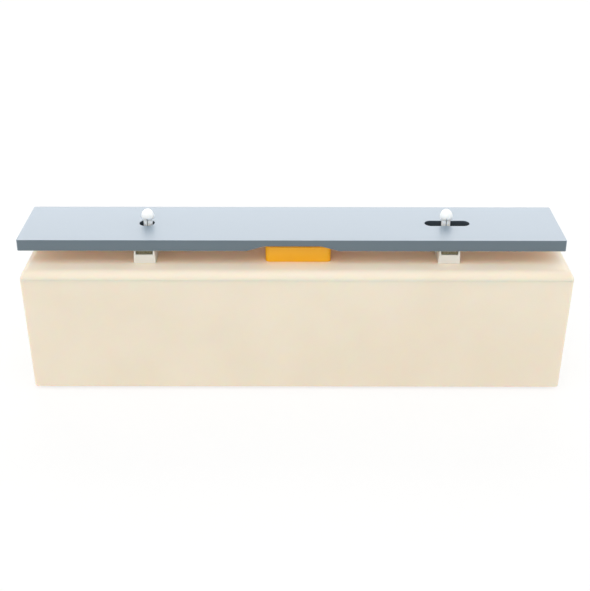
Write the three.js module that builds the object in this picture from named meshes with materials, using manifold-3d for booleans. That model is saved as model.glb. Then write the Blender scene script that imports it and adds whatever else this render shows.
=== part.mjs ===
// Chime bar: a tuned metal bar that lies on two felt-lined rails on top of a hollow resonator box.
// Millimetres, +Z up, X along the bar, Y across it with the player at -Y.
// The feet stand on Z = 0, and the origin is in the middle of the footprint.
import * as THREE from 'three';
import { mergeVertices, toCreasedNormals } from 'three/addons/utils/BufferGeometryUtils.js';
import Module from 'manifold-3d';

const wasm = await Module();
wasm.setup();

// Tone bar
const bar_length = 308;
const bar_width = 50;
const bar_thickness = 6.6;
const bar_corner_radius = 1;
const bar_edge_chamfer = 0.4;
const bar_gap = 8.1; // free height between the box and the bar
const bar_offset_x = -3; // the bar lies this far left of the box's middle
const arch_flat = 32.2; // level stretch of the tuning arch in the bar's underside
const arch_flank = 9.7; // sloping run at each end of the arch
const arch_depth = 2.9;
const arch_blend = 3; // soft change from the level stretch to a flank
const mouth_offset_x = 0.7; // arch on the bar and sound mouth on the box sit this far right
const hole_edge_chamfer = 0.5;
const slot_length = 26;

// Resonator box, made of a tub and a lid
const box_length = 309.2;
const box_depth = 72.4;
const box_height = 74.5;
const draft_run = 1.45; // each wall leans in this far from the seam to the floor
const edge_radius = 5; // rounded edge all round the lid
const corner_radius = 1.5; // upright corners
const least_corner = 0.5; // where a corner has been moved in from the outer face
const wall = 2.5;
const floor_thickness = 2.5;
const tub_foot_radius = 1; // rounded edge around the tub's underside
const tub_inner_radius = 2;
const lid_thickness = 3;
const tongue_height = 3; // the lid's lip that reaches into the tub
const tongue_thickness = 1.6;
const tongue_clearance = 0.3;

// Screw posts under the lid and the floor bosses that they stand on
const post_diameter = 8;
const post_inset_x = 34; // from the box's end to the post
const post_inset_y = 14;
const floor_boss_diameter = 13;
const floor_boss_height = 1.5;

// Rubber feet
const foot_diameter = 14;
const foot_stand = 1.5; // height of the tub over the table
const foot_recess = 1;
const foot_edge_radius = 0.6;
const foot_inset_x = 15;
const foot_inset_y = 12.5;
const foot_clearance = 0.2;

// Mouth collar, the short chimney in the lid's opening
const collar_flank_reach = 2.4; // the collar stands this far out under each flank of the arch
const collar_setback = 3.6; // behind the bar's long edges
const collar_air_gap = 2; // between the collar's rim and the arch
const collar_wall = 2;
const collar_corner_radius = 2.5;
const collar_rim_radius = 0.8;
const collar_shoulder = 1.4; // ledge that rests on the lid
const collar_shoulder_height = 1.6;
const collar_clearance = 0.3;
const hook_width = 12;
const hook_reach = 1;
const hook_land = 0.8;
const hook_height = 2.6;
const hook_clearance = 0.2;

// Support rails and their felt strips
const pin_spacing = 172;
const rail_setback = 1.5; // behind the bar's long edges
const rail_flare = 0.4; // wider at its foot by this on each side
const rail_corner_radius = 0.6;
const ear_thickness = 1;
const ear_gap = 0.6; // between the rail's ears and the bar
const felt_width = 9.3;
const felt_thickness = 3;
const felt_end_inset = 0.5;
const felt_side_clearance = 0.2;
const peg_diameter = 3;
const peg_length = 2.2;
const peg_inset_y = 8; // from the rail's end
const peg_clearance = 0.2;

// Ball-headed pins that the bar drops over
const shaft_diameter = 5.2;
const ball_overhang = 1.1; // the ball's radius is larger than the shaft's by this
const ball_lift = 5.1; // ball's centre over the bar's top
const hole_clearance = 0.7; // round the ball
const slot_clearance = 0.2; // beside the ball
const hole_shift_share = -0.85; // of that clearance, so the ball still passes
const slot_shift = 0.75; // the slot's middle is this far right of its pin
const felt_hole_clearance = 0.3;
const window_width = 1.3; // slit that makes two springy legs
const window_sink = 3; // below the bar's top
const window_drop = 1; // from the ball's centre down to the slit's upper end
const pin_flange_width = 1.6; // flange's overhang round the shaft
const pin_flange_height = 1;
const spigot_diameter = 4.6; // lower end, through the rail and the lid
const spigot_clearance = 0.2;
const spigot_relief = 0.5; // the spigot stops this far short of the screw's head
const pin_boss_diameter = 12;
const pin_boss_height = 0.8;

// Screws, pointing up
const pin_screw = { shank: 2.6, length: 10, head: 6.6, head_height: 2.1 };
const lid_screw = { shank: 3.4, length: 15, head: 6.8, head_height: 2.4 };
const screw_clearance = 0.1;
const screw_tip = 1.2;
const screw_end_gap = 1; // free bore beyond the screw's tip
const screw_head_sink = 0.4; // the head lies this far inside its recess
const screw_head_clearance = 0.3;
const screw_rim_share = 0.4; // of the head's height, straight rim before the dome
const screw_cross_share = 0.6; // of the head's width
const screw_cross_arm_share = 0.16;
const screw_cross_depth_share = 0.5; // of the head's height

// Facets, seen as steps per quarter turn, and working values
const small_steps = 4;
const round_steps = 6;
const dome_steps = 3;
const ball_steps = 10;
const overrun = 1; // cutters reach this far past what they cut
const weld = 1e-4;
const crease = Math.PI / 6;

// Heights over the table
const z_floor = foot_stand;
const z_floor_top = z_floor + floor_thickness;
const z_boss_top = z_floor_top + floor_boss_height;
const z_top = z_floor + box_height;
const z_seam = z_top - edge_radius;
const z_lid_under = z_top - lid_thickness;
const z_bar = z_top + bar_gap;
const z_bar_top = z_bar + bar_thickness;
const z_channel = z_bar - felt_thickness;
const z_ear = z_bar - ear_gap;
const z_pin_seat = z_channel - pin_flange_height;
const z_ball = z_bar_top + ball_lift;
const z_collar_rim = z_bar + arch_depth - collar_air_gap;
const z_pin_boss = z_lid_under - pin_boss_height;

// Sizes that follow from those above
const ball_diameter = shaft_diameter + 2 * ball_overhang;
const hole_diameter = ball_diameter + 2 * hole_clearance;
const slot_width = ball_diameter + 2 * slot_clearance;
const hole_x = -pin_spacing / 2 + hole_shift_share * hole_clearance;
const slot_x = pin_spacing / 2 + slot_shift;
const arch_x = bar_offset_x + mouth_offset_x;
const arch_length = arch_flat + 2 * arch_flank;
const channel_width = felt_width + 2 * felt_side_clearance;
const rail_width = channel_width + 2 * ear_thickness;
const rail_length = bar_width - 2 * rail_setback;
const felt_length = rail_length - 2 * felt_end_inset;
const felt_hole_diameter = shaft_diameter + 2 * felt_hole_clearance;
const collar_length = arch_flat + 2 * collar_flank_reach;
const collar_depth = bar_width - 2 * collar_setback;
const pin_flange_diameter = shaft_diameter + 2 * pin_flange_width;
const spigot_hole_diameter = spigot_diameter + 2 * spigot_clearance;
const peg_y = rail_length / 2 - peg_inset_y;
const post_x = box_length / 2 - post_inset_x;
const post_y = box_depth / 2 - post_inset_y;
const foot_x = box_length / 2 - foot_inset_x;
const foot_y = box_depth / 2 - foot_inset_y;

// Finishes
function finish(color, roughness, metalness) {
  return new THREE.MeshStandardMaterial({ color, roughness, metalness });
}
const bar_lacquer = finish('#8fa3ad', 0.42, 0.35);
const cream_plastic = finish('#ebe0cb', 0.5, 0);
const orange_plastic = finish('#eca72a', 0.45, 0);
const white_plastic = finish('#f4f4ee', 0.4, 0);
const olive_felt = finish('#605c4b', 0.95, 0);
const grey_rubber = finish('#3c3b38', 0.85, 0);
const zinc_steel = finish('#b9bcbd', 0.35, 0.9);

// One ring of points, a rectangle with round corners, anticlockwise seen from above.
// With the radius at half of both sides it is a circle, and at half of one side a slot.
function round_ring(length, depth, radius, steps) {
  const ring = [];
  const corners = [[1, 1], [-1, 1], [-1, -1], [1, -1]];
  corners.forEach(([side_x, side_y], quarter) => {
    const middle_x = side_x * (length / 2 - radius);
    const middle_y = side_y * (depth / 2 - radius);
    for (let step = 0; step <= steps; step += 1) {
      const angle = (quarter + step / steps) * Math.PI / 2;
      const x = middle_x + radius * Math.cos(angle);
      const y = middle_y + radius * Math.sin(angle);
      ring.push(new THREE.Vector2(x, y));
    }
  });
  return ring.filter((point, i) => point.distanceTo(ring[(i + 1) % ring.length]) > weld);
}

function circle_ring(diameter) {
  return round_ring(diameter, diameter, diameter / 2, round_steps);
}

// Outline of the box at a height, moved in from its outer face by an inset.
function box_ring(z, inset) {
  const lean = draft_run * Math.max(0, z_seam - z) / (z_seam - z_floor);
  const length = box_length - 2 * (lean + inset);
  const depth = box_depth - 2 * (lean + inset);
  const radius = Math.max(corner_radius - inset, least_corner);
  return round_ring(length, depth, radius, small_steps);
}

// A closed skin over rings of equal count, lowest first: levels are [z, ring].
function stack(levels) {
  const count = levels[0][1].length;
  const places = levels.flatMap(([z, ring]) => ring.flatMap((point) => [point.x, point.y, z]));
  const faces = [];
  for (let level = 0; level < levels.length - 1; level += 1) {
    for (let i = 0; i < count; i += 1) {
      const a = level * count + i;
      const b = level * count + (i + 1) % count;
      faces.push(a, b, b + count, a, b + count, a + count);
    }
  }
  const top_start = (levels.length - 1) * count;
  const top_ring = levels[levels.length - 1][1];
  for (const [i, j, k] of THREE.ShapeUtils.triangulateShape(levels[0][1], [])) {
    faces.push(k, j, i);
  }
  for (const [i, j, k] of THREE.ShapeUtils.triangulateShape(top_ring, [])) {
    faces.push(top_start + i, top_start + j, top_start + k);
  }
  const geometry = new THREE.BufferGeometry();
  geometry.setAttribute('position', new THREE.Float32BufferAttribute(places, 3));
  geometry.setIndex(faces);
  return geometry;
}

// A straight-sided prism between two heights.
function prism(ring, z_low, z_high) {
  return stack([[z_low, ring], [z_high, ring]]);
}

function cylinder(diameter, z_low, z_high, x = 0, y = 0) {
  return prism(circle_ring(diameter), z_low, z_high).translate(x, y, 0);
}

function block(length, depth, z_low, z_high) {
  const flat = new THREE.Vector2(length / 2, depth / 2);
  const signs = [[-1, -1], [1, -1], [1, 1], [-1, 1]];
  const ring = signs.map(([sx, sy]) => new THREE.Vector2(sx, sy).multiply(flat));
  return prism(ring, z_low, z_high);
}

// A turned piece from its [radius, z] profile, lowest first, starting and ending on the axis.
function turned(profile) {
  const points = profile.map(([radius, z]) => new THREE.Vector2(radius, z));
  return new THREE.LatheGeometry(points, 4 * round_steps).rotateX(Math.PI / 2);
}

// A profile [a, b] pushed along its normal, centred, with a kept as X and b as Z.
function upright_prism(ring, thickness) {
  return prism(ring, -thickness / 2, thickness / 2).rotateX(Math.PI / 2);
}

// A three.js geometry as a solid that can be joined and cut.
function solid(geometry) {
  const bare = geometry.clone();
  bare.deleteAttribute('normal');
  bare.deleteAttribute('uv');
  const welded = mergeVertices(bare, weld);
  return new wasm.Manifold(new wasm.Mesh({
    numProp: 3,
    vertProperties: new Float32Array(welded.attributes.position.array),
    triVerts: new Uint32Array(welded.index.array),
  }));
}

function joined(body, additions) {
  return additions.reduce((sum, geometry) => sum.add(solid(geometry)), body);
}

function cut(body, cutters) {
  return cutters.reduce((rest, geometry) => rest.subtract(solid(geometry)), body);
}

function add_piece(group, name, shape, material, x = 0, y = 0, z = 0) {
  const { vertProperties, triVerts } = shape.getMesh();
  const geometry = new THREE.BufferGeometry();
  geometry.setAttribute('position', new THREE.Float32BufferAttribute(vertProperties, 3));
  geometry.setIndex(Array.from(triVerts));
  const mesh = new THREE.Mesh(toCreasedNormals(geometry, crease), material);
  mesh.name = name;
  mesh.position.set(x, y, z);
  group.add(mesh);
}

const sides = [[-1, 'left'], [1, 'right']];
const corners = sides.flatMap(([side_x, name_x]) => (
  [[-1, 'front'], [1, 'back']].map(([side_y, name_y]) => [side_x, side_y, `${name_y}_${name_x}`])
));

// Cutter for a hole or slot through the bar, with its mouths chamfered.
function bar_hole_cutter(length, width) {
  function ring(outset) {
    return round_ring(length + 2 * outset, width + 2 * outset, width / 2 + outset, round_steps);
  }
  return stack([
    [z_bar - overrun, ring(hole_edge_chamfer)],
    [z_bar, ring(hole_edge_chamfer)],
    [z_bar + hole_edge_chamfer, ring(0)],
    [z_bar_top - hole_edge_chamfer, ring(0)],
    [z_bar_top, ring(hole_edge_chamfer)],
    [z_bar_top + overrun, ring(hole_edge_chamfer)],
  ]);
}

// Cutter for the arch: a level roof, softened into two straight flanks.
function arch_cutter() {
  const roof = z_bar + arch_depth;
  const slope = arch_depth / arch_flank;
  const base_half = arch_length / 2 + overrun / slope;
  const outline = new THREE.Shape();
  outline.moveTo(-base_half, z_bar - overrun);
  outline.lineTo(base_half, z_bar - overrun);
  outline.lineTo(arch_flat / 2 + arch_blend / 2, roof - slope * arch_blend / 2);
  outline.quadraticCurveTo(arch_flat / 2, roof, arch_flat / 2 - arch_blend / 2, roof);
  outline.lineTo(-arch_flat / 2 + arch_blend / 2, roof);
  outline.quadraticCurveTo(
    -arch_flat / 2, roof, -arch_flat / 2 - arch_blend / 2, roof - slope * arch_blend / 2,
  );
  outline.closePath();
  const ring = outline.getPoints(small_steps);
  ring.pop();
  return upright_prism(ring, bar_width + 2 * overrun).translate(arch_x, 0, 0);
}

function tone_bar() {
  function ring(inset) {
    const radius = bar_corner_radius - inset;
    return round_ring(bar_length - 2 * inset, bar_width - 2 * inset, radius, small_steps);
  }
  const plate = stack([
    [z_bar, ring(bar_edge_chamfer)],
    [z_bar + bar_edge_chamfer, ring(0)],
    [z_bar_top - bar_edge_chamfer, ring(0)],
    [z_bar_top, ring(bar_edge_chamfer)],
  ]).translate(bar_offset_x, 0, 0);
  return cut(solid(plate), [
    arch_cutter(),
    bar_hole_cutter(hole_diameter, hole_diameter).translate(hole_x, 0, 0),
    bar_hole_cutter(slot_length, slot_width).translate(slot_x, 0, 0),
  ]);
}

// Tub: leaning walls, a rounded lower edge, floor bosses for the screws and recesses for the feet.
function resonator_tub() {
  const outer = [];
  const inner = [];
  for (let step = 0; step <= small_steps; step += 1) {
    const angle = step / small_steps * Math.PI / 2;
    const rise = 1 - Math.cos(angle);
    const inset = 1 - Math.sin(angle);
    const z_outer = z_floor + tub_foot_radius * rise;
    const z_inner = z_floor_top + tub_inner_radius * rise;
    outer.push([z_outer, box_ring(z_outer, tub_foot_radius * inset)]);
    inner.push([z_inner, box_ring(z_inner, wall + tub_inner_radius * inset)]);
  }
  outer.push([z_seam, box_ring(z_seam, 0)]);
  inner.push([z_seam, box_ring(z_seam, wall)]);
  inner.push([z_seam + overrun, box_ring(z_seam, wall)]);
  const bosses = [];
  const cutters = [];
  const recess_diameter = lid_screw.head + 2 * screw_head_clearance;
  const z_recess = z_floor + lid_screw.head_height + screw_head_sink;
  for (const [side_x, side_y] of corners) {
    const x = side_x * post_x;
    const y = side_y * post_y;
    const hole_width = lid_screw.shank + 2 * screw_clearance;
    bosses.push(cylinder(floor_boss_diameter, z_floor_top - overrun, z_boss_top, x, y));
    cutters.push(cylinder(hole_width, z_floor, z_boss_top + overrun, x, y));
    cutters.push(cylinder(recess_diameter, z_floor - overrun, z_recess, x, y));
    const foot_recess_diameter = foot_diameter + 2 * foot_clearance;
    cutters.push(cylinder(
      foot_recess_diameter, z_floor - overrun, z_floor + foot_recess, side_x * foot_x, side_y * foot_y,
    ));
  }
  const shell = cut(solid(stack(outer)), [stack(inner)]);
  return cut(joined(shell, bosses), cutters);
}

// Lid: rounded edge, tongue that fits the tub, four screw posts, two pin bosses and the mouth.
function resonator_lid() {
  const tongue_inset = wall + tongue_clearance;
  const hollow_inset = tongue_inset + tongue_thickness;
  const z_tongue = z_seam - tongue_height;
  const dome = [];
  for (let step = 0; step <= round_steps; step += 1) {
    const angle = step / round_steps * Math.PI / 2;
    const inset = edge_radius * (1 - Math.cos(angle));
    dome.push([z_seam + edge_radius * Math.sin(angle), box_ring(z_seam, inset)]);
  }
  const tongue = stack([
    [z_tongue, box_ring(z_tongue, tongue_inset)],
    [z_seam, box_ring(z_seam, tongue_inset)],
    [z_seam + overrun, box_ring(z_seam, tongue_inset)],
  ]);
  const hollow = stack([
    [z_tongue - overrun, box_ring(z_tongue, hollow_inset)],
    [z_lid_under, box_ring(z_tongue, hollow_inset)],
  ]);
  const shell = cut(joined(solid(stack(dome)), [tongue]), [hollow]);

  const studs = [];
  const cutters = [];
  const post_bore = lid_screw.shank + 2 * screw_clearance;
  const screw_seat = z_floor + lid_screw.head_height + screw_head_sink;
  const z_bore_end = screw_seat + lid_screw.length + screw_end_gap;
  for (const [side_x, side_y] of corners) {
    const x = side_x * post_x;
    const y = side_y * post_y;
    studs.push(cylinder(post_diameter, z_boss_top, z_lid_under + overrun, x, y));
    cutters.push(cylinder(post_bore, z_boss_top - overrun, z_bore_end, x, y));
  }
  for (const [side] of sides) {
    const x = side * pin_spacing / 2;
    studs.push(cylinder(pin_boss_diameter, z_pin_boss, z_lid_under + overrun, x));
    cutters.push(cylinder(spigot_hole_diameter, z_pin_boss - overrun, z_top + overrun, x));
    for (const [end] of sides) {
      const peg_hole = peg_diameter + 2 * peg_clearance;
      cutters.push(cylinder(peg_hole, z_lid_under - overrun, z_top + overrun, x, end * peg_y));
    }
  }
  const mouth = prism(collar_ring(collar_shoulder - collar_clearance), z_seam, z_top + overrun);
  cutters.push(mouth.translate(mouth_offset_x, 0, 0));
  return cut(joined(shell, studs), cutters);
}

// Outline of the collar, moved in from its outer face by an inset.
function collar_ring(inset) {
  const radius = Math.max(collar_corner_radius - inset, least_corner);
  return round_ring(collar_length - 2 * inset, collar_depth - 2 * inset, radius, small_steps);
}

// Snap hook under the lid's edge, facing +Y.
function collar_hook() {
  const z_catch = z_lid_under - hook_clearance;
  const face = collar_depth / 2 - collar_shoulder;
  const outline = [
    new THREE.Vector2(face - collar_wall / 2, z_catch - hook_height),
    new THREE.Vector2(face, z_catch - hook_height),
    new THREE.Vector2(face + hook_reach, z_catch - hook_land),
    new THREE.Vector2(face + hook_reach, z_catch),
    new THREE.Vector2(face - collar_wall / 2, z_catch),
  ];
  return upright_prism(outline, hook_width).rotateZ(Math.PI / 2);
}

function mouth_collar() {
  const z_foot = z_lid_under - hook_clearance - hook_height;
  const upper = [[z_top, collar_ring(0)]];
  for (let step = 0; step <= dome_steps; step += 1) {
    const angle = step / dome_steps * Math.PI / 2;
    const z = z_collar_rim - collar_rim_radius * (1 - Math.sin(angle));
    upper.push([z, collar_ring(collar_rim_radius * (1 - Math.cos(angle)))]);
  }
  const spigot = prism(collar_ring(collar_shoulder), z_foot, z_top + collar_shoulder_height / 2);
  const upper_bore = prism(
    collar_ring(collar_wall), z_top + collar_shoulder_height, z_collar_rim + overrun,
  );
  const lower_bore = prism(
    collar_ring(collar_shoulder + collar_wall), z_foot - overrun, z_collar_rim + overrun,
  );
  const hooks = [collar_hook(), collar_hook().rotateZ(Math.PI)];
  const tube = cut(joined(solid(stack(upper)), [spigot]), [upper_bore, lower_bore]);
  return joined(tube, hooks);
}

// Support rail, made at the middle of the box: a channel for the felt, open at both ends.
function support_rail() {
  function ring(flare) {
    return round_ring(rail_width + 2 * flare, rail_length, rail_corner_radius, small_steps);
  }
  const body = stack([[z_top, ring(rail_flare)], [z_ear, ring(0)]]);
  const flange_recess = pin_flange_diameter + 2 * spigot_clearance;
  const pegs = sides.map(([end]) => (
    cylinder(peg_diameter, z_top - peg_length, z_top + overrun, 0, end * peg_y)
  ));
  return cut(joined(solid(body), pegs), [
    block(channel_width, rail_length + 2 * overrun, z_channel, z_ear + overrun),
    cylinder(flange_recess, z_pin_seat, z_channel + overrun),
    cylinder(spigot_hole_diameter, z_top - overrun, z_pin_seat + overrun),
  ]);
}

function felt_strip() {
  const strip = block(felt_width, felt_length, z_channel, z_bar);
  return cut(solid(strip), [cylinder(felt_hole_diameter, z_channel - overrun, z_bar + overrun)]);
}

// Ball-headed pin: spigot, flange, slit shaft and ball.
function ball_pin() {
  const spigot_radius = spigot_diameter / 2;
  const shaft_radius = shaft_diameter / 2;
  const flange_radius = pin_flange_diameter / 2;
  const ball_radius = ball_diameter / 2;
  const z_spigot = z_pin_boss + spigot_relief;
  const neck_angle = Math.asin(shaft_radius / ball_radius);
  const profile = [
    [0, z_spigot],
    [spigot_radius, z_spigot],
    [spigot_radius, z_pin_seat],
    [flange_radius, z_pin_seat],
    [flange_radius, z_channel],
    [shaft_radius, z_channel],
  ];
  for (let step = 0; step < ball_steps; step += 1) {
    const angle = neck_angle + (Math.PI - neck_angle) * step / ball_steps;
    profile.push([ball_radius * Math.sin(angle), z_ball - ball_radius * Math.cos(angle)]);
  }
  profile.push([0, z_ball + ball_radius]);
  const z_slit_low = z_bar_top - window_sink;
  const z_slit_high = z_ball - window_drop;
  const slit = round_ring(window_width, z_slit_high - z_slit_low, window_width / 2, small_steps);
  const bore = pin_screw.shank + 2 * screw_clearance;
  const z_bore_end = z_pin_boss + pin_screw.length + screw_end_gap;
  return cut(solid(turned(profile)), [
    upright_prism(slit, 2 * ball_diameter).translate(0, 0, (z_slit_low + z_slit_high) / 2),
    cylinder(bore, z_spigot - overrun, z_bore_end),
  ]);
}

// Pan-head screw that points up, with its head's seat at Z = 0 and a cross recess below.
function screw({ shank, length, head, head_height }) {
  const z_rim = -head_height * screw_rim_share;
  const profile = [[0, -head_height]];
  for (let step = 1; step <= dome_steps; step += 1) {
    const angle = step / dome_steps * Math.PI / 2;
    const drop = (head_height + z_rim) * Math.cos(angle);
    profile.push([head / 2 * Math.sin(angle), z_rim - drop]);
  }
  profile.push([head / 2, 0], [shank / 2, 0], [shank / 2, length - screw_tip], [0, length]);
  const span = head * screw_cross_share;
  const arm = head * screw_cross_arm_share;
  const z_cross = -head_height * (1 - screw_cross_depth_share);
  const z_out = -head_height - overrun;
  return cut(solid(turned(profile)), [
    block(span, arm, z_out, z_cross),
    block(arm, span, z_out, z_cross),
  ]);
}

function rubber_foot() {
  const radius = foot_diameter / 2;
  const profile = [[0, 0]];
  for (let step = 0; step <= dome_steps; step += 1) {
    const angle = step / dome_steps * Math.PI / 2;
    profile.push([
      radius - foot_edge_radius * (1 - Math.sin(angle)),
      foot_edge_radius * (1 - Math.cos(angle)),
    ]);
  }
  const z_ceiling = foot_stand + foot_recess;
  profile.push([radius, z_ceiling], [0, z_ceiling]);
  return solid(turned(profile));
}

// The whole object
const chime_bar = new THREE.Group();
chime_bar.name = 'chime_bar';

const resonator = new THREE.Group();
add_piece(resonator, 'resonator_tub', resonator_tub(), cream_plastic);
add_piece(resonator, 'resonator_lid', resonator_lid(), cream_plastic);
add_piece(resonator, 'mouth_collar', mouth_collar(), orange_plastic, mouth_offset_x);
const z_lid_screw = z_floor + lid_screw.head_height + screw_head_sink;
for (const [side_x, side_y, place] of corners) {
  const post = [side_x * post_x, side_y * post_y];
  add_piece(resonator, `lid_screw_${place}`, screw(lid_screw), zinc_steel, ...post, z_lid_screw);
  const foot = [side_x * foot_x, side_y * foot_y];
  add_piece(resonator, `foot_${place}`, rubber_foot(), grey_rubber, ...foot);
}
chime_bar.add(resonator);

for (const [side, place] of sides) {
  const support = new THREE.Group();
  support.position.x = side * pin_spacing / 2;
  add_piece(support, `support_${place}`, support_rail(), white_plastic);
  add_piece(support, `felt_${place}`, felt_strip(), olive_felt);
  add_piece(support, `pin_${place}`, ball_pin(), white_plastic);
  add_piece(support, `pin_screw_${place}`, screw(pin_screw), zinc_steel, 0, 0, z_pin_boss);
  chime_bar.add(support);
}

add_piece(chime_bar, 'tone_bar', tone_bar(), bar_lacquer);

// The bar reaches past the box on one side, so the footprint's middle is not the box's middle.
const left_end = Math.min(-box_length / 2, bar_offset_x - bar_length / 2);
const right_end = Math.max(box_length / 2, bar_offset_x + bar_length / 2);
chime_bar.position.x = -(left_end + right_end) / 2;

export default chime_bar;
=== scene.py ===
import math

import bmesh
import bpy
from mathutils import Matrix, Vector, noise


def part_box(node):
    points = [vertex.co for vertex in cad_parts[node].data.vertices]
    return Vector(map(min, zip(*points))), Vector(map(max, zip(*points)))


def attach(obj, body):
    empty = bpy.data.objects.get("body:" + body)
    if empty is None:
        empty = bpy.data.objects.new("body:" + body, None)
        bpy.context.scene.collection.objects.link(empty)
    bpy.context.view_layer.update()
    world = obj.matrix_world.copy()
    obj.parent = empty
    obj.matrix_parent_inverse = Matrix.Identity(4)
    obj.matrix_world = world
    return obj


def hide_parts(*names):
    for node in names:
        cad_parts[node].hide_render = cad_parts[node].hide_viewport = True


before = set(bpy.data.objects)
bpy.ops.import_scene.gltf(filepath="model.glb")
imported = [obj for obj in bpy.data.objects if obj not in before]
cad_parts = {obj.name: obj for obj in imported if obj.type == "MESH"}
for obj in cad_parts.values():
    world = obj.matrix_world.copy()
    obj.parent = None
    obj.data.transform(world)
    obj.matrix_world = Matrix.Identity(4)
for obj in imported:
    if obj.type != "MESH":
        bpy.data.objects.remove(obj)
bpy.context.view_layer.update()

MM = 0.001
QUARTER_TURN = math.pi / 2
X, Y, Z = range(3)
scene = bpy.context.scene


# ---------------------------------------------------------------- camera

# Fitted to the corners of the bar in the photograph, which is 590 by 591 pixels.
CAMERA_PLACE = Vector((0.15, -597.3, 342.0)) * MM
CAMERA_PITCH = 26.52  # degrees below the horizon
CAMERA_ROLL = 0.085  # degrees
FOCAL_PIXELS = 1118.6
IMAGE_LONG_SIDE = 591
SENSOR = 36  # mm
NEAREST, FARTHEST = 0.01, 50  # metres

camera_data = bpy.data.cameras.new("camera")
camera_data.sensor_width = SENSOR
camera_data.lens = FOCAL_PIXELS / IMAGE_LONG_SIDE * SENSOR
camera_data.clip_start = NEAREST
camera_data.clip_end = FARTHEST
camera = bpy.data.objects.new("camera", camera_data)
camera.matrix_world = (
    Matrix.Translation(CAMERA_PLACE)
    @ Matrix.Rotation(math.radians(90 - CAMERA_PITCH), 4, "X")
    @ Matrix.Rotation(math.radians(CAMERA_ROLL), 4, "Z")
)
scene.collection.objects.link(camera)
scene.camera = camera


# ---------------------------------------------------------------- materials

SKIN_STOPS = 0.35, 0.65  # where a skin leaves its first shade and reaches its second


def linear(hex_colour):
    """An sRGB hex colour as the linear RGBA that shaders read."""
    channels = [int(hex_colour[i:i + 2], 16) / 255 for i in (1, 3, 5)]
    return tuple(
        c / 12.92 if c <= 0.04045 else ((c + 0.055) / 1.055) ** 2.4 for c in channels
    ) + (1.0,)


def add_node(tree, kind, settings, inputs):
    """Adds a node. An input is a plain value or another node's output."""
    node = tree.nodes.new(kind)
    for name, value in settings.items():
        setattr(node, name, value)
    for name, value in inputs.items():
        if isinstance(value, bpy.types.NodeSocket):
            tree.links.new(value, node.inputs[name])
        else:
            node.inputs[name].default_value = value
    return node


def empty_material(name):
    """A material without nodes, and its node tree."""
    material = bpy.data.materials.new(name)
    material.use_nodes = True
    material.node_tree.nodes.clear()
    return material, material.node_tree


def skin(tree, shades, patch, grain, relief):
    """A colour that wanders between two shades in patches, and the normal of a fine grain.

    The patch, the grain and its relief are in millimetres.
    """
    place = add_node(tree, "ShaderNodeTexCoord", {}, {}).outputs["Object"]
    cloud = add_node(tree, "ShaderNodeTexNoise", {}, {
        "Vector": place, "Scale": 1 / (patch * MM), "Detail": 2.0,
    })
    ramp = add_node(tree, "ShaderNodeValToRGB", {}, {"Fac": cloud.outputs["Fac"]})
    for stop, position, shade in zip(ramp.color_ramp.elements, SKIN_STOPS, shades):
        stop.position = position
        stop.color = linear(shade)
    grit = add_node(tree, "ShaderNodeTexNoise", {}, {
        "Vector": place, "Scale": 1 / (grain * MM), "Detail": 3.0,
    })
    bump = add_node(tree, "ShaderNodeBump", {}, {
        "Height": grit.outputs["Fac"], "Distance": relief * MM,
    })
    return ramp.outputs["Color"], bump.outputs["Normal"]


# Satin lacquer sprayed on aluminium alloy: a dark blue-grey where the eye meets it face on. Its
# clear binder is a film with a soft gloss of its own, which at a slant throws back the pale
# room, and the fine matting powder in it adds a cool bloom. The spray's orange peel is 1.2 mm
# across.
satin_lacquer, tree = empty_material("satin_lacquer_on_aluminium")
colour, normal = skin(tree, ("#334b57", "#354d59"), patch=70, grain=1.2, relief=0.004)
add_node(tree, "ShaderNodeBsdfPrincipled", {}, {
    "Base Color": colour, "Normal": normal, "Roughness": 0.5, "IOR": 1.7,
    "Coat Weight": 1.0, "Coat Roughness": 0.4, "Coat IOR": 1.5,
    "Sheen Weight": 1.0, "Sheen Roughness": 0.5, "Sheen Tint": linear("#dcecff"),
})

# Rolled aluminium left bare under the bar, where the spray does not reach: a pale metal whose
# grain runs along the bar. The 0.05 mm rolling lines are too fine to show, and are drawn 0.4 mm
# apart and 25 times as long as they are wide.
ROLLING_LINE = 0.4
ROLLING_STRETCH = 25
ROLLING_RELIEF = 0.004
bare_aluminium, tree = empty_material("bare_rolled_aluminium")
place = add_node(tree, "ShaderNodeTexCoord", {}, {}).outputs["Object"]
drawn = add_node(tree, "ShaderNodeMapping", {}, {
    "Vector": place, "Scale": (1 / ROLLING_STRETCH, 1.0, 1.0),
})
lines = add_node(tree, "ShaderNodeTexNoise", {}, {
    "Vector": drawn.outputs["Vector"], "Scale": 1 / (ROLLING_LINE * MM), "Detail": 2.0,
})
bump = add_node(tree, "ShaderNodeBump", {}, {
    "Height": lines.outputs["Fac"], "Distance": ROLLING_RELIEF * MM,
})
ramp = add_node(tree, "ShaderNodeValToRGB", {}, {"Fac": lines.outputs["Fac"]})
for stop, shade in zip(ramp.color_ramp.elements, ("#eaebec", "#f3f4f4")):
    stop.color = linear(shade)
add_node(tree, "ShaderNodeBsdfPrincipled", {}, {
    "Base Color": ramp.outputs["Color"], "Normal": bump.outputs["Normal"],
    "Roughness": 0.42, "Metallic": 1.0,
})

# The walls of the hole and the slot: the lacquer's blue-grey made dark and dull, a painted shade
# for these narrow recesses.
hole_wall_painted_shade, tree = empty_material("painted_shade_hole_walls")
colour, normal = skin(tree, ("#2f3a42", "#343f47"), patch=5, grain=0.4, relief=0.01)
add_node(tree, "ShaderNodeBsdfPrincipled", {}, {
    "Base Color": colour, "Normal": normal, "Roughness": 0.7, "IOR": 1.5,
})
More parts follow.
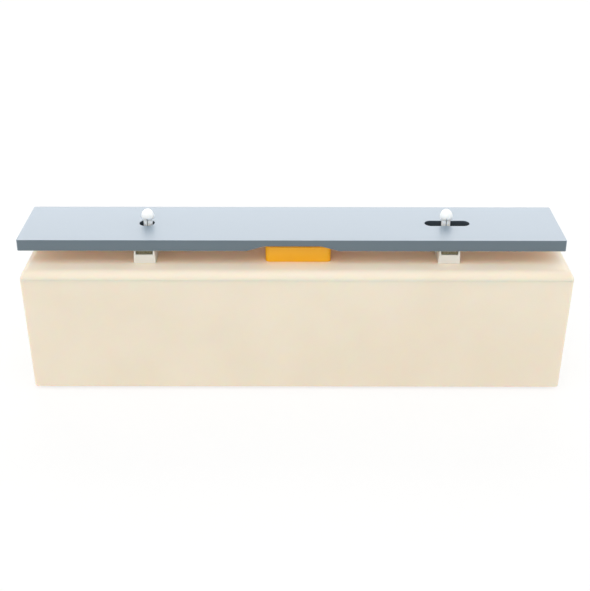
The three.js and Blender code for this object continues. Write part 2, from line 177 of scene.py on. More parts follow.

# Moulded ABS in cream, from a spark-eroded mould: matt with a soft broad highlight. Where another
# piece covers it closely, as under the bar and beside the rails and the collar, the base colour is
# painted a light warm peach: a painted warm shade standing in for light that comes through the
# translucent plastic. The mould's grain of 0.15 mm is too fine to show, and is drawn as 0.5 mm.
CREVICE = 20  # mm; pieces nearer than this count as a cover
COVERED, OPEN = 0.3, 0.48  # share of open room at which the shade is all warm, and all cream
MIX_SHARE, MIX_FIRST, MIX_SECOND, MIX_COLOUR = 0, 6, 7, 2  # a colour mix's sockets
cream_abs, tree = empty_material("moulded_abs_cream")
colour, normal = skin(tree, ("#e9decb", "#e6dac6"), patch=45, grain=0.5, relief=0.006)
room = add_node(tree, "ShaderNodeAmbientOcclusion", {"samples": 8}, {"Distance": CREVICE * MM})
openness = add_node(tree, "ShaderNodeMapRange", {}, {
    "Value": room.outputs["AO"], "From Min": COVERED, "From Max": OPEN,
})
# Painted warm shade: closely covered faces take the light peach in place of their cream.
painted_warm_shade = add_node(tree, "ShaderNodeMix", {"data_type": "RGBA"}, {
    MIX_SHARE: openness.outputs["Result"], MIX_FIRST: linear("#fddabc"), MIX_SECOND: colour,
})
add_node(tree, "ShaderNodeBsdfPrincipled", {}, {
    "Base Color": painted_warm_shade.outputs[MIX_COLOUR], "Normal": normal, "Roughness": 0.48, "IOR": 1.54,
    "Subsurface Weight": 0.5, "Subsurface Radius": (1.0, 0.4, 0.2), "Subsurface Scale": 0.003,
})

# Moulded ABS in orange, from a smoother mould, so half glossy.
orange_abs, tree = empty_material("moulded_abs_orange")
colour, normal = skin(tree, ("#f4b000", "#efaa00"), patch=20, grain=0.4, relief=0.003)
add_node(tree, "ShaderNodeBsdfPrincipled", {}, {
    "Base Color": colour, "Normal": normal, "Roughness": 0.36, "IOR": 1.54,
    "Subsurface Weight": 0.15, "Subsurface Radius": (1.0, 0.5, 0.15), "Subsurface Scale": 0.003,
})

# Moulded ABS in off-white for the rails: a half-matt face, a little greyer than the pins.
white_abs, tree = empty_material("moulded_abs_white")
colour, normal = skin(tree, ("#e3e1da", "#dfddd5"), patch=15, grain=0.4, relief=0.004)
add_node(tree, "ShaderNodeBsdfPrincipled", {}, {
    "Base Color": colour, "Normal": normal, "Roughness": 0.42, "IOR": 1.54,
    "Subsurface Weight": 0.2, "Subsurface Radius": (1.0, 0.7, 0.5), "Subsurface Scale": 0.002,
})

# Moulded nylon in natural white: waxy, half glossy, and a little translucent at its edges.
white_nylon, tree = empty_material("moulded_nylon_white")
colour, normal = skin(tree, ("#f6f9f8", "#f2f5f4"), patch=12, grain=0.3, relief=0.002)
add_node(tree, "ShaderNodeBsdfPrincipled", {}, {
    "Base Color": colour, "Normal": normal, "Roughness": 0.34, "IOR": 1.53,
    "Subsurface Weight": 0.6, "Subsurface Radius": (1.0, 0.95, 0.85), "Subsurface Scale": 0.0006,
})

# Pressed wool felt in olive: no highlight, and a pale bloom of loose fibres where it is seen
# sideways. The 0.03 mm fibres are too fine to show, and are drawn as 0.25 mm strands.
olive_felt, tree = empty_material("pressed_wool_felt_olive")
colour, normal = skin(tree, ("#7d785f", "#5f5b46"), patch=0.9, grain=0.25, relief=0.12)
add_node(tree, "ShaderNodeBsdfPrincipled", {}, {
    "Base Color": colour, "Normal": normal, "Roughness": 0.95, "IOR": 1.45,
    "Sheen Weight": 0.5, "Sheen Roughness": 0.6, "Sheen Tint": linear("#b5ae92"),
})

# Steel, zinc plated and blued: a mid grey metal with a soft uneven shine.
zinc_steel, tree = empty_material("zinc_plated_steel")
colour, normal = skin(tree, ("#b4b8bb", "#a6abb0"), patch=1.5, grain=0.3, relief=0.003)
add_node(tree, "ShaderNodeBsdfPrincipled", {}, {
    "Base Color": colour, "Normal": normal, "Roughness": 0.33, "Metallic": 1.0,
})

# Moulded rubber: dark grey, dull, with a dusty grain.
grey_rubber, tree = empty_material("moulded_rubber_grey")
colour, normal = skin(tree, ("#45443f", "#3a3935"), patch=4, grain=0.35, relief=0.01)
add_node(tree, "ShaderNodeBsdfPrincipled", {}, {
    "Base Color": colour, "Normal": normal, "Roughness": 0.82, "IOR": 1.52,
})

# The last node of every finish above is its shader, which goes to the material's output.
for finish in (
    satin_lacquer, bare_aluminium, hole_wall_painted_shade, cream_abs, orange_abs, white_abs, white_nylon,
    olive_felt, zinc_steel, grey_rubber,
):
    tree = finish.node_tree
    shader = tree.nodes[-1]
    add_node(tree, "ShaderNodeOutputMaterial", {}, {"Surface": shader.outputs["BSDF"]})


# ---------------------------------------------------------------- shaping tools

TOUCH = 1e-4  # mm; points nearer than this are one point
CORNER = math.radians(28)  # edges sharper than this are corners
PARALLEL = 0.9  # cosine above which an edge counts as running along an axis
OVERRUN = 1.0  # cutters reach this far past what they cut
ROUND = 64  # facets of a full circle
CORNER_STEPS = 6  # facets of a rounded corner
DOME_STEPS = 8  # facets from a small dome's crown to its side
SIDES = ((-1, "left"), (1, "right"))


def box_mm(node):
    """A CAD node's lowest and highest corners in millimetres."""
    low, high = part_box(node)
    return low / MM, high / MM


def middle_mm(node):
    """The middle of a CAD node's box in millimetres."""
    low, high = box_mm(node)
    return (low + high) / 2


def block(low, high):
    """A plain box between two corners."""
    bm = bmesh.new()
    bmesh.ops.create_cube(bm, size=1)
    low, high = Vector(low), Vector(high)
    bmesh.ops.scale(bm, vec=high - low, verts=bm.verts)
    bmesh.ops.translate(bm, vec=(low + high) / 2, verts=bm.verts)
    return bm


def rod(diameter, z_low, z_high, x, y):
    """An upright cylinder."""
    bm = bmesh.new()
    bmesh.ops.create_cone(
        bm, cap_ends=True, segments=ROUND,
        radius1=diameter / 2, radius2=diameter / 2, depth=z_high - z_low,
    )
    bmesh.ops.translate(bm, vec=(x, y, (z_low + z_high) / 2), verts=bm.verts)
    return bm


def turned(profile, x, y):
    """A solid turned round an upright axis from a (radius, z) profile with both ends on it."""
    bm = bmesh.new()
    points = [bm.verts.new((radius, 0, z)) for radius, z in profile]
    lines = [bm.edges.new(pair) for pair in zip(points, points[1:])]
    bmesh.ops.spin(
        bm, geom=points + lines, cent=(0, 0, 0), axis=(0, 0, 1),
        angle=2 * math.pi, steps=ROUND, use_merge=True,
    )
    bmesh.ops.remove_doubles(bm, verts=bm.verts, dist=TOUCH)
    bmesh.ops.recalc_face_normals(bm, faces=bm.faces)
    bmesh.ops.translate(bm, vec=(x, y, 0), verts=bm.verts)
    return bm


def along(bm, axis):
    """Edges that run along an axis."""
    return [
        e for e in bm.edges
        if abs((e.verts[0].co - e.verts[1].co).normalized()[axis]) > PARALLEL
    ]


def corners(bm):
    """Edges that are corners, at any height."""
    return [e for e in bm.edges if e.calc_face_angle(0) > CORNER]


def level(bm, z):
    """Corner edges that lie at a height."""
    return [e for e in corners(bm) if all(abs(v.co.z - z) < TOUCH for v in e.verts)]


def round_off(bm, edges, radius, steps):
    """Rounds edges in place, or cuts them flat where there is one step."""
    bmesh.ops.bevel(
        bm, geom=edges, offset=radius, offset_type="OFFSET", affect="EDGES",
        segments=steps, profile=0.5, material=-1, clamp_overlap=True,
    )
    return bm


def gather(parts):
    """Several shapes in one mesh."""
    whole = bmesh.new()
    for part in parts:
        mesh = bpy.data.meshes.new("part")
        part.to_mesh(mesh)
        part.free()
        whole.from_mesh(mesh)
        bpy.data.meshes.remove(mesh)
    return whole


def carve(solid, tools, operation="DIFFERENCE"):
    """The solid with the tools taken out of it, or joined to it by UNION."""
    stock = []
    for bm in (solid, gather(tools)):
        mesh = bpy.data.meshes.new("stock")
        bm.to_mesh(mesh)
        bm.free()
        stock.append(bpy.data.objects.new("stock", mesh))
        scene.collection.objects.link(stock[-1])
    cut = stock[0].modifiers.new("cut", "BOOLEAN")
    cut.operation, cut.object, cut.solver, cut.use_self = operation, stock[1], "EXACT", True
    result = bmesh.new()
    result.from_object(stock[0], bpy.context.evaluated_depsgraph_get())
    for obj in stock:
        bpy.data.meshes.remove(obj.data)
    bmesh.ops.remove_doubles(result, verts=result.verts, dist=TOUCH)
    return result


def piece(name, bm, material, slot, body, node, *others):
    """Finishes a shape as a piece of the object that stands for a CAD node.

    Other materials follow the main one, for faces that have their number.
    """
    many_sided = [f for f in bm.faces if len(f.verts) > 4]
    bmesh.ops.triangulate(bm, faces=many_sided)
    bmesh.ops.scale(bm, vec=(MM, MM, MM), verts=bm.verts)
    mesh = bpy.data.meshes.new(name)
    bm.to_mesh(mesh)
    bm.free()
    for face in mesh.polygons:
        face.use_smooth = True
    mesh.set_sharp_from_angle(angle=CORNER)
    for finish in (material, *others):
        mesh.materials.append(finish)
    obj = bpy.data.objects.new(name, mesh)
    scene.collection.objects.link(obj)
    even = obj.modifiers.new("even shading", "WEIGHTED_NORMAL")
    even.keep_sharp = True
    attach(obj, body)
    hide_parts(node)
    return obj


# ---------------------------------------------------------------- resonator box
# From here on every length is in millimetres. An edge that is rounded off is given by its
# radius and the number of its facets.

WALL = 2.5
BOX_CORNER = 1.5  # upright corners
HOLLOW_CORNER = 2.6
LID_STEPS = 12  # facets of the lid's rounded edge
LEAN = 1.45  # each wall leans in this far towards its foot
SEAM_EDGE = 0.12, 2

tub_low, tub_high = box_mm("resonator_tub")
lid_top = box_mm("resonator_lid")[1].z
box_x = (tub_low.x + tub_high.x) / 2
seam = tub_high.z
lid_edge = lid_top - seam  # radius of the lid's rounded edge


def boxed(inset, z_low, z_high, lean, corner):
    """The box's outline moved in by an inset, between two heights; the foot leans in further."""
    low = Vector((tub_low.x + inset, tub_low.y + inset, z_low))
    high = Vector((tub_high.x - inset, tub_high.y - inset, z_high))
    bm = block(low, high)
    round_off(bm, along(bm, Z), corner, CORNER_STEPS)
    if lean:
        size = high - low
        foot = [v for v in bm.verts if v.co.z < (z_low + z_high) / 2]
        bmesh.ops.scale(
            bm, vec=(1 - 2 * lean / size.x, 1 - 2 * lean / size.y, 1), verts=foot,
            space=Matrix.Translation((-box_x, 0, 0)),
        )
    return bm


def crown(bm, z_low, radius):
    """Closes the box's outline with a rounded edge: the top face is drawn up and in by steps."""
    size = tub_high - tub_low
    top = max(bm.faces, key=lambda face: face.calc_center_median().z)
    last = 0
    for step in range(1, LID_STEPS + 1):
        turn = step / LID_STEPS * QUARTER_TURN
        inset = radius * (1 - math.cos(turn))
        top = bmesh.ops.extrude_discrete_faces(bm, faces=[top])["faces"][0]
        shrink = [(side - 2 * inset) / (side - 2 * last) for side in (size.x, size.y)]
        bmesh.ops.scale(
            bm, vec=(*shrink, 1), verts=top.verts, space=Matrix.Translation((-box_x, 0, 0)),
        )
        for v in top.verts:
            v.co.z = z_low + radius * math.sin(turn)
        last = inset
    return bm


FLOOR = 2.5
FLOOR_BOSS, FLOOR_BOSS_HEIGHT = 13.0, 1.5
SCREW_RECESS, SCREW_RECESS_DEPTH = 7.4, 2.8
SCREW_HOLE = 3.6
FOOT_RECESS, FOOT_RECESS_DEPTH = 14.4, 1.0
TUB_FOOT_EDGE = 0.9, 5
HOLLOW_FOOT_EDGE = 2.0, 5

posts = {
    place: middle_mm(f"lid_screw_{place}")
    for place in ("front_left", "front_right", "back_left", "back_right")
}
feet = {place: middle_mm(f"foot_{place}") for place in posts}
table_gap = tub_low.z
floor_top = table_gap + FLOOR
boss_top = floor_top + FLOOR_BOSS_HEIGHT

tub = boxed(0, table_gap, seam, LEAN, BOX_CORNER)
round_off(tub, level(tub, table_gap), *TUB_FOOT_EDGE)
hollow = boxed(WALL, floor_top, seam + OVERRUN, LEAN, HOLLOW_CORNER)
round_off(hollow, level(hollow, floor_top), *HOLLOW_FOOT_EDGE)
tub = carve(tub, [hollow])
tub = carve(tub, [
    rod(FLOOR_BOSS, floor_top - OVERRUN, boss_top, post.x, post.y) for post in posts.values()
], "UNION")
tub = carve(tub, [
    rod(SCREW_RECESS, table_gap - OVERRUN, table_gap + SCREW_RECESS_DEPTH, post.x, post.y)
    for post in posts.values()
] + [
    rod(FOOT_RECESS, table_gap - OVERRUN, table_gap + FOOT_RECESS_DEPTH, foot.x, foot.y)
    for foot in feet.values()
])
tub = carve(tub, [
    rod(SCREW_HOLE, table_gap, boss_top + OVERRUN, post.x, post.y) for post in posts.values()
])
round_off(tub, level(tub, seam), *SEAM_EDGE)
piece("moulded_tub", tub, cream_abs, "cream_plastic", "resonator", "resonator_tub")

LID = 3.0
TONGUE = 3.0  # how far the tongue reaches down into the tub
TONGUE_INSET = 2.8
TONGUE_WALL = 1.6
TONGUE_CORNER, TONGUE_INNER_CORNER = 2.3, 1.0
SEAM_REACH = 0.5  # edges this far outside the tongue belong to the lid's outline
POST = 8.0
POST_BORE_TOP = 20.3
PIN_BOSS, PIN_BOSS_HEIGHT = 12.0, 0.8
PIN_HOLE = 5.0
PEG_HOLE = 3.4
PEG_INSET = 8.0

COLLAR_LENGTH = 37.0
COLLAR_DEPTH = 42.8
COLLAR_LEDGE, COLLAR_LEDGE_HEIGHT = 1.4, 1.6  # the ledge that rests on the lid
MOUTH_CLEARANCE = 0.3
MOUTH_CORNER = 1.4

collar_low, collar_high = box_mm("mouth_collar")
mouth_x = (collar_low.x + collar_high.x) / 2
rails = {side: box_mm(f"support_{side}") for _, side in SIDES}
pin_x = {side: (low.x + high.x) / 2 for side, (low, high) in rails.items()}
peg_y = rails["left"][1].y - PEG_INSET
lid_under = lid_top - LID


def past_outline(point):
    """How far a point lies outside the box's outline; less than 0 inside it."""
    return max(abs(point.x - box_x) - tub_high.x + box_x, abs(point.y) - tub_high.y)


def collar_block(inset, z_low, z_high, corner):
    """The collar's outline moved in by an inset, between two heights."""
    bm = block(
        (mouth_x - COLLAR_LENGTH / 2 + inset, -COLLAR_DEPTH / 2 + inset, z_low),
        (mouth_x + COLLAR_LENGTH / 2 - inset, COLLAR_DEPTH / 2 - inset, z_high),
    )
    return round_off(bm, along(bm, Z), corner, CORNER_STEPS)


# The crown is drawn up from a short stretch of wall, which is cut off again at the seam.
lid = crown(boxed(0, seam - lid_edge, seam, 0, BOX_CORNER), seam, lid_edge)
lid = carve(lid, [boxed(-OVERRUN, seam - 2 * lid_edge, seam, 0, BOX_CORNER)])
lid = carve(
    lid, [boxed(TONGUE_INSET, seam - TONGUE, seam + OVERRUN, 0, TONGUE_CORNER)], "UNION",
)
lid = carve(lid, [boxed(
    TONGUE_INSET + TONGUE_WALL, seam - TONGUE - OVERRUN, lid_under, 0, TONGUE_INNER_CORNER,
)])
lid = carve(lid, [
    rod(POST, boss_top, lid_under + OVERRUN, post.x, post.y) for post in posts.values()
] + [
    rod(PIN_BOSS, lid_under - PIN_BOSS_HEIGHT, lid_under + OVERRUN, x, 0) for x in pin_x.values()
], "UNION")
lid = carve(lid, [
    rod(SCREW_HOLE, boss_top - OVERRUN, POST_BORE_TOP, post.x, post.y) for post in posts.values()
] + [
    rod(PIN_HOLE, seam, lid_top + OVERRUN, x, 0) for x in pin_x.values()
] + [
    rod(PEG_HOLE, seam, lid_top + OVERRUN, x, end * peg_y)
    for x in pin_x.values() for end in (-1, 1)
] + [
    collar_block(COLLAR_LEDGE - MOUTH_CLEARANCE, seam, lid_top + OVERRUN, MOUTH_CORNER)
])
outline = [
    e for e in level(lid, seam)
    if past_outline(e.verts[0].co) > SEAM_REACH - TONGUE_INSET
]
round_off(lid, outline, *SEAM_EDGE)
piece("moulded_lid", lid, cream_abs, "cream_plastic", "resonator", "resonator_lid")


# ---------------------------------------------------------------- mouth collar

COLLAR_WALL = 2.0
COLLAR_CORNER, COLLAR_INNER_CORNER = 2.5, 0.5
COLLAR_RIM = 0.8, 5
COLLAR_INNER_RIM = 0.35, 3
HOOK_WIDTH = 12.0
HOOK_GAP = 0.2
HOOK_REACH = 1.0
HOOK_NOSE = 0.95, 1  # flat lead-in at the hook's lower edge

collar_foot = collar_low.z
collar_rim = collar_high.z
hook_top = lid_under - HOOK_GAP
ledge_top = lid_top + COLLAR_LEDGE_HEIGHT

# The frame above the lid, the narrower throat through the lid, and the hooks under it. The
# air's way is cut last, in two widths.
collar = collar_block(0, lid_top, collar_rim, COLLAR_CORNER)
round_off(collar, level(collar, collar_rim), *COLLAR_RIM)
collar = carve(collar, [collar_block(
    COLLAR_LEDGE, collar_foot, lid_top + OVERRUN / 2, COLLAR_CORNER - COLLAR_LEDGE,
)], "UNION")
hooks = []
for end in (-1, 1):
    face = end * (COLLAR_DEPTH / 2 - COLLAR_LEDGE)
    ends = sorted((face - end * COLLAR_WALL / 2, face + end * HOOK_REACH))
    hook = block(
        (mouth_x - HOOK_WIDTH / 2, ends[0], collar_foot),
        (mouth_x + HOOK_WIDTH / 2, ends[1], hook_top),
    )
    nose = [
        e for e in along(hook, X)
        if all(v.co.z < collar_foot + TOUCH and abs(v.co.y) > abs(face) for v in e.verts)
    ]
    hooks.append(round_off(hook, nose, *HOOK_NOSE))
collar = carve(collar, hooks, "UNION")
collar = carve(collar, [
    collar_block(COLLAR_WALL, ledge_top, collar_rim + OVERRUN, COLLAR_INNER_CORNER),
])
collar = carve(collar, [collar_block(
    COLLAR_LEDGE + COLLAR_WALL, collar_foot - OVERRUN, collar_rim + OVERRUN,
    COLLAR_INNER_CORNER,
)])
round_off(collar, level(collar, collar_rim), *COLLAR_INNER_RIM)
piece("moulded_collar", collar, orange_abs, "orange_plastic", "resonator", "mouth_collar")


# ---------------------------------------------------------------- rails, felt and pins

RAIL_CORNER = 0.6, 4
RAIL_FLARE = 0.4  # wider at its foot by this on each side
EAR = 1.0
EAR_EDGE = 0.3, 3
FLANGE_RECESS, FLANGE_RECESS_DEPTH = 8.8, 1.0
PEG, PEG_LENGTH = 3.0, 2.2

for side, (low, high) in rails.items():
    x = pin_x[side]
    channel = box_mm(f"felt_{side}")[0].z
    half = (high.x - low.x) / 2 - RAIL_FLARE
    rail = block((x - half, low.y, lid_top), (x + half, high.y, high.z))
    foot = [v for v in rail.verts if v.co.z < lid_top + TOUCH]
    bmesh.ops.scale(
        rail, vec=(1 + RAIL_FLARE / half, 1, 1), verts=foot,
        space=Matrix.Translation((-x, 0, 0)),
    )
    round_off(rail, along(rail, Z), *RAIL_CORNER)
    rail = carve(rail, [block(
        (x - half + EAR, low.y - OVERRUN, channel),
        (x + half - EAR, high.y + OVERRUN, high.z + OVERRUN),
    )])
    round_off(rail, level(rail, high.z), *EAR_EDGE)
    rail = carve(rail, [
        rod(PEG, lid_top - PEG_LENGTH, lid_top + OVERRUN, x, end * (high.y - PEG_INSET))
        for end in (-1, 1)
    ], "UNION")
    rail = carve(rail, [
        rod(FLANGE_RECESS, channel - FLANGE_RECESS_DEPTH, channel + OVERRUN, x, 0),
    ])
    rail = carve(rail, [rod(PIN_HOLE, lid_top - OVERRUN, channel + OVERRUN, x, 0)])
    piece(f"moulded_rail_{side}", rail, white_abs, "white_plastic", "resonator", f"support_{side}")

FELT_CELL = 0.75
FELT_SOFTENING = 2  # passes that round the cut edges
FELT_HOLE = 5.8
FELT_FUZZ = 0.09
FELT_TUFTS = 0.9, 0.35  # sizes of the larger and the smaller tufts

for side in rails:
    low, high = box_mm(f"felt_{side}")
    felt = block(low, high)
    for axis in (X, Y, Z):
        cuts = round((high - low)[axis] / FELT_CELL) - 1
        bmesh.ops.subdivide_edges(felt, edges=along(felt, axis), cuts=cuts, use_grid_fill=True)
    for _ in range(FELT_SOFTENING):
        bmesh.ops.smooth_vert(
            felt, verts=felt.verts, factor=0.5, use_axis_x=True, use_axis_y=True, use_axis_z=True,
        )
    felt = carve(felt, [rod(FELT_HOLE, low.z - OVERRUN, high.z + OVERRUN, pin_x[side], 0)])
    felt.normal_update()
    for v in felt.verts:
        fuzz = sum(noise.noise(v.co / tuft) for tuft in FELT_TUFTS)
        v.co -= v.normal * FELT_FUZZ * (0.5 + 0.5 * fuzz)
    pad = piece(
        f"pressed_felt_{side}", felt, olive_felt, "olive_felt", "resonator", f"felt_{side}",
    )

SPIGOT = 4.6
SPIGOT_EDGE = 0.3
FLANGE, FLANGE_HEIGHT = 8.4, 1.0
SHAFT = 5.2
BALL = 7.4
BALL_STEPS = 24
BALL_WIDEST = 94.9  # height of the ball's greatest width
BALL_UNDER = 2.6  # how far the ball's round underside would reach down
SLIT = 0.45
SLIT_FOOT, SLIT_HEAD = 87.7, 94.8
SLIT_END = 0.49  # radius of the slit's ends as a share of its width
PIN_BORE, PIN_BORE_TOP = 2.8, 83.2

for side in rails:
    low, high = box_mm(f"pin_{side}")
    x = pin_x[side]
    seat = box_mm(f"felt_{side}")[0].z
    neck = math.asin(SHAFT / BALL)  # where the ball's underside meets the shaft
    profile = [
        (0, low.z), (SPIGOT / 2 - SPIGOT_EDGE, low.z), (SPIGOT / 2, low.z + SPIGOT_EDGE),
        (SPIGOT / 2, seat - FLANGE_HEIGHT), (FLANGE / 2, seat - FLANGE_HEIGHT),
        (FLANGE / 2, seat), (SHAFT / 2, seat),
    ]
    for step in range(BALL_STEPS + 1):
        turn = neck + (math.pi - neck) * step / BALL_STEPS
        rise = BALL_UNDER if turn < QUARTER_TURN else high.z - BALL_WIDEST
        profile.append((BALL / 2 * math.sin(turn), BALL_WIDEST - rise * math.cos(turn)))
    profile[-1] = (0, high.z)
    pin = turned(profile, x, 0)
    slit = block((x - SLIT / 2, -BALL, SLIT_FOOT), (x + SLIT / 2, BALL, SLIT_HEAD))
    round_off(slit, along(slit, Y), SLIT * SLIT_END, CORNER_STEPS)
    pin = carve(pin, [slit])
    pin = carve(pin, [rod(PIN_BORE, low.z - OVERRUN, PIN_BORE_TOP, x, 0)])
    piece(f"ball_pin_{side}", pin, white_nylon, "white_plastic", "resonator", f"pin_{side}")


# ---------------------------------------------------------------- screws and feet

LID_SCREW = 3.4, 6.8, 2.4  # shank, head, the head's height
PIN_SCREW = 2.6, 6.6, 2.1
HEAD_RIM = 0.4  # straight side of the head, as a share of its height
HEAD_EDGE = 0.12
CROSS_SPAN, CROSS_ARM = 0.6, 0.16  # as shares of the head's width
CROSS_DEPTH = 0.5  # as a share of the head's height
THREAD_START = 0.6
THREAD_PITCH = 1.3
THREAD_CREST, THREAD_CREST_WIDTH = 0.08, 0.1
THREAD_STOP = 2.2  # from the tip's point
TIP = 1.2


def pan_head(shank, head, head_height):
    """Profile of a pan-head screw that points up, with its head's seat at height 0."""
    rim = -HEAD_RIM * head_height
    profile = [(0, -head_height)]
    for step in range(1, DOME_STEPS + 1):
        turn = step / DOME_STEPS * QUARTER_TURN
        profile.append((head / 2 * math.sin(turn), rim - (head_height + rim) * math.cos(turn)))
    profile += [(head / 2, -HEAD_EDGE), (head / 2 - HEAD_EDGE, 0), (shank / 2, 0)]
    return profile


def recessed_screw(name, node, shank, head, head_height):
    """A thread-forming screw with a cross recess, in the place of a CAD screw."""
    low, high = box_mm(node)
    x, y = (low.x + high.x) / 2, (low.y + high.y) / 2
    seat = low.z + head_height
    profile = pan_head(shank, head, head_height)
    z, crest = THREAD_START, shank / 2 + THREAD_CREST
    while z < high.z - seat - THREAD_STOP:
        profile += [
            (shank / 2, z), (crest, z + THREAD_PITCH / 2 - THREAD_CREST_WIDTH),
            (crest, z + THREAD_PITCH / 2),
        ]
        z += THREAD_PITCH
    profile += [(shank / 2, z), (shank / 2, high.z - seat - TIP), (0, high.z - seat)]
    screw = turned([(radius, seat + z) for radius, z in profile], x, y)
    for span, arm in ((CROSS_SPAN, CROSS_ARM), (CROSS_ARM, CROSS_SPAN)):
        screw = carve(screw, [block(
            (x - head * span / 2, y - head * arm / 2, low.z - OVERRUN),
            (x + head * span / 2, y + head * arm / 2, low.z + head_height * CROSS_DEPTH),
        )])
    piece(name, screw, zinc_steel, "zinc_steel", "resonator", node)


for place in posts:
    recessed_screw(f"lid_screw_zinc_{place}", f"lid_screw_{place}", *LID_SCREW)
for _, side in SIDES:
    recessed_screw(f"pin_screw_zinc_{side}", f"pin_screw_{side}", *PIN_SCREW)

FOOT = 14.0
FOOT_EDGE = 0.6

for place, middle in feet.items():
    low, high = box_mm(f"foot_{place}")
    profile = [(0, low.z)]
    for step in range(DOME_STEPS + 1):
        turn = step / DOME_STEPS * QUARTER_TURN
        profile.append((
            FOOT / 2 - FOOT_EDGE * (1 - math.sin(turn)), low.z + FOOT_EDGE * (1 - math.cos(turn)),
        ))
    profile += [(FOOT / 2, high.z), (0, high.z)]
    piece(
        f"rubber_foot_{place}", turned(profile, middle.x, middle.y),
        grey_rubber, "grey_rubber", "resonator", f"foot_{place}",
    )


# ---------------------------------------------------------------- tone bar

BAR_CORNER = 1.0, 8
BAR_EDGE = 0.3, 3
BAR_OFFSET = -3.0  # the bar lies this far left of the box's middle
ARCH_OFFSET = 0.7
ARCH_LEVEL, ARCH_RUN, ARCH_DEPTH = 32.2, 9.7, 2.9  # the run is the slope at each end
ARCH_BLEND = 1.5, 6
HOLE = 8.8
HOLE_SHIFT = -0.595
SLOT_LENGTH, SLOT_WIDTH = 26.0, 7.8
SLOT_SHIFT = 0.75
SLOT_END = 0.999  # radius of the slot's ends as a share of half its width
MOUTH_EDGE = 0.6, 4  # countersunk edge of the hole and the slot
DOWNWARD = -0.7  # the normal's z under which a face is part of the underside
UPRIGHT = 0.1  # the normal's z up to which a face is part of a wall
BARE, SHADE_PAINTED = 1, 2  # numbers of the bar's other finishes

low, high = box_mm("tone_bar")
arch_x = box_x + BAR_OFFSET + ARCH_OFFSET
roof = low.z + ARCH_DEPTH
hole_x = pin_x["left"] + HOLE_SHIFT
slot_x = pin_x["right"] + SLOT_SHIFT

bar = block(low, high)
round_off(bar, along(bar, Z), *BAR_CORNER)
# The arch's cutter is a block whose foot is spread out to the flanks' slope.
arch = block(
    (arch_x - ARCH_LEVEL / 2, low.y - OVERRUN, low.z - OVERRUN),
    (arch_x + ARCH_LEVEL / 2, high.y + OVERRUN, roof),
)
springing = [v for v in arch.verts if v.co.z < low.z]
spread = ARCH_RUN * (1 + OVERRUN / ARCH_DEPTH)
bmesh.ops.scale(
    arch, vec=(1 + 2 * spread / ARCH_LEVEL, 1, 1), verts=springing,
    space=Matrix.Translation((-arch_x, 0, 0)),
)
round_off(arch, [e for e in along(arch, Y) if e.verts[0].co.z > low.z], *ARCH_BLEND)
slot = block(
    (slot_x - SLOT_LENGTH / 2, -SLOT_WIDTH / 2, low.z - OVERRUN),
    (slot_x + SLOT_LENGTH / 2, SLOT_WIDTH / 2, high.z + OVERRUN),
)
round_off(slot, along(slot, Z), SLOT_WIDTH / 2 * SLOT_END, ROUND // 4)
hole = rod(HOLE, low.z - OVERRUN, high.z + OVERRUN, hole_x, 0)
bar = carve(bar, [arch])
bar = carve(bar, [slot, hole])
mouths = [
    e for e in level(bar, high.z) + level(bar, low.z)
    if max(abs(v.co.y) for v in e.verts) < HOLE and abs(e.verts[0].co.x - arch_x) > ARCH_LEVEL
]
round_off(bar, mouths, *MOUTH_EDGE)
round_off(bar, [e for e in corners(bar) if e.is_manifold], *BAR_EDGE)
bar.normal_update()
# Faces that look down get the bare metal; the upright walls of the hole and the slot get the
# painted shade.
for face in bar.faces:
    middle = face.calc_center_median()
    in_slot = abs(middle.x - slot_x) < SLOT_LENGTH / 2 + TOUCH
    in_hole = abs(middle.x - hole_x) < HOLE / 2 + TOUCH
    if face.normal.z < DOWNWARD:
        face.material_index = BARE
    elif abs(face.normal.z) < UPRIGHT and abs(middle.y) < HOLE and (in_slot or in_hole):
        face.material_index = SHADE_PAINTED
piece(
    "milled_bar", bar, satin_lacquer, "bar_lacquer", "bar", "tone_bar", bare_aluminium, hole_wall_painted_shade,
)


# ---------------------------------------------------------------- floor, light and background
# Here lengths are in metres again, but for the gap under the feet.

FLOOR_SIZE = 6.0
FLOOR_GAP = 0.02  # mm under the feet, so that no face lies in another
SEEN_WHITE = 0.76  # share of plain white in the floor as the camera and reflections see it
AMBIENT = 0.37  # the world's strength as a light; where it is seen it is 1


def seen_share(tree):
    """1 where the camera, a reflection or a see-through piece looks, 0 for other light."""
    ray = add_node(tree, "ShaderNodeLightPath", {}, {})
    direct = add_node(tree, "ShaderNodeMath", {"operation": "MAXIMUM"}, {
        0: ray.outputs["Is Camera Ray"], 1: ray.outputs["Is Glossy Ray"],
    })
    seen = add_node(tree, "ShaderNodeMath", {"operation": "MAXIMUM"}, {
        0: direct.outputs[0], 1: ray.outputs["Is Transmission Ray"],
    })
    return seen.outputs[0]


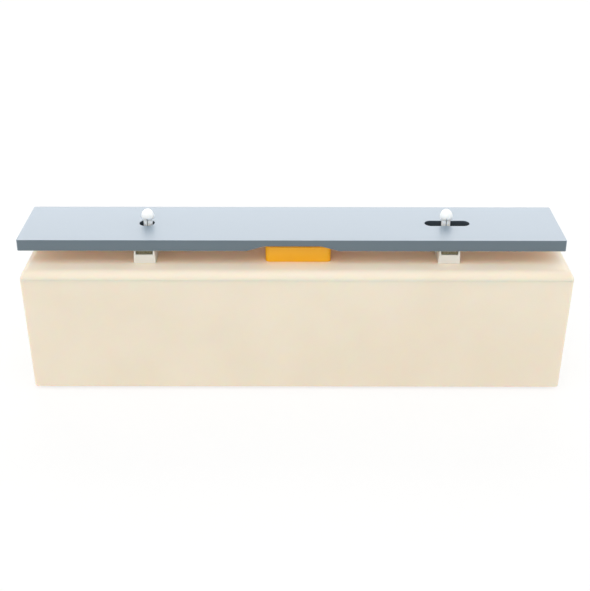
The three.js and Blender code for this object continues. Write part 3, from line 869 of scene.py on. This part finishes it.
pale_floor, tree = empty_material("matt_white_paper")
share = add_node(tree, "ShaderNodeMath", {"operation": "MULTIPLY"}, {
    0: seen_share(tree), 1: SEEN_WHITE,
})
paper = add_node(tree, "ShaderNodeBsdfDiffuse", {}, {"Color": linear("#f4f4f2")})
glow = add_node(tree, "ShaderNodeEmission", {}, {"Strength": 1.0})
both = add_node(tree, "ShaderNodeMixShader", {}, {
    0: share.outputs[0], 1: paper.outputs[0], 2: glow.outputs[0],
})
add_node(tree, "ShaderNodeOutputMaterial", {}, {"Surface": both.outputs[0]})

bm = bmesh.new()
bmesh.ops.create_grid(bm, x_segments=1, y_segments=1, size=FLOOR_SIZE / 2)
floor_mesh = bpy.data.meshes.new("floor")
bm.to_mesh(floor_mesh)
bm.free()
floor_mesh.materials.append(pale_floor)
floor = bpy.data.objects.new("floor", floor_mesh)
floor.location.z = -FLOOR_GAP * MM
scene.collection.objects.link(floor)

world = bpy.data.worlds.new("studio")
world.use_nodes = True
tree = world.node_tree
tree.nodes.clear()
strength = add_node(tree, "ShaderNodeMapRange", {}, {
    "Value": seen_share(tree), "To Min": AMBIENT, "To Max": 1.0,
})
sky = add_node(tree, "ShaderNodeBackground", {}, {
    "Color": linear("#ffffff"), "Strength": strength.outputs[0],
})
add_node(tree, "ShaderNodeOutputWorld", {}, {"Surface": sky.outputs[0]})
scene.world = world

LAMP_AIM = Vector((0, 0, 0.05))
# Name, place and size in metres, and power in watts. The large soft lamp at the back is what
# the bar's top reflects to the camera.
SOFT_LAMPS = (
    ("overhead", (0, -0.42, 1.15), (1.2, 0.9), 6.2),
    ("back", (0, 1.15, 0.74), (1.8, 0.9), 10.5),
    ("front", (-0.25, -1.3, 0.95), (1.4, 0.9), 4),
    ("low_front", (-0.1, -1.35, 0.4), (1.2, 0.5), 2),
    ("end_left", (-1.25, 0, 0.5), (1.4, 0.9), 5.5),
    ("end_right", (1.25, 0, 0.5), (1.4, 0.9), 5.5),
)

for name, place, size, power in SOFT_LAMPS:
    lamp = bpy.data.lights.new(name, "AREA")
    lamp.shape = "RECTANGLE"
    lamp.size, lamp.size_y = size
    lamp.energy = power
    obj = bpy.data.objects.new(name, lamp)
    aim = (LAMP_AIM - Vector(place)).to_track_quat("-Z", "Y")
    obj.matrix_world = Matrix.Translation(place) @ aim.to_matrix().to_4x4()
    scene.collection.objects.link(obj)

scene.view_settings.view_transform = "Standard"
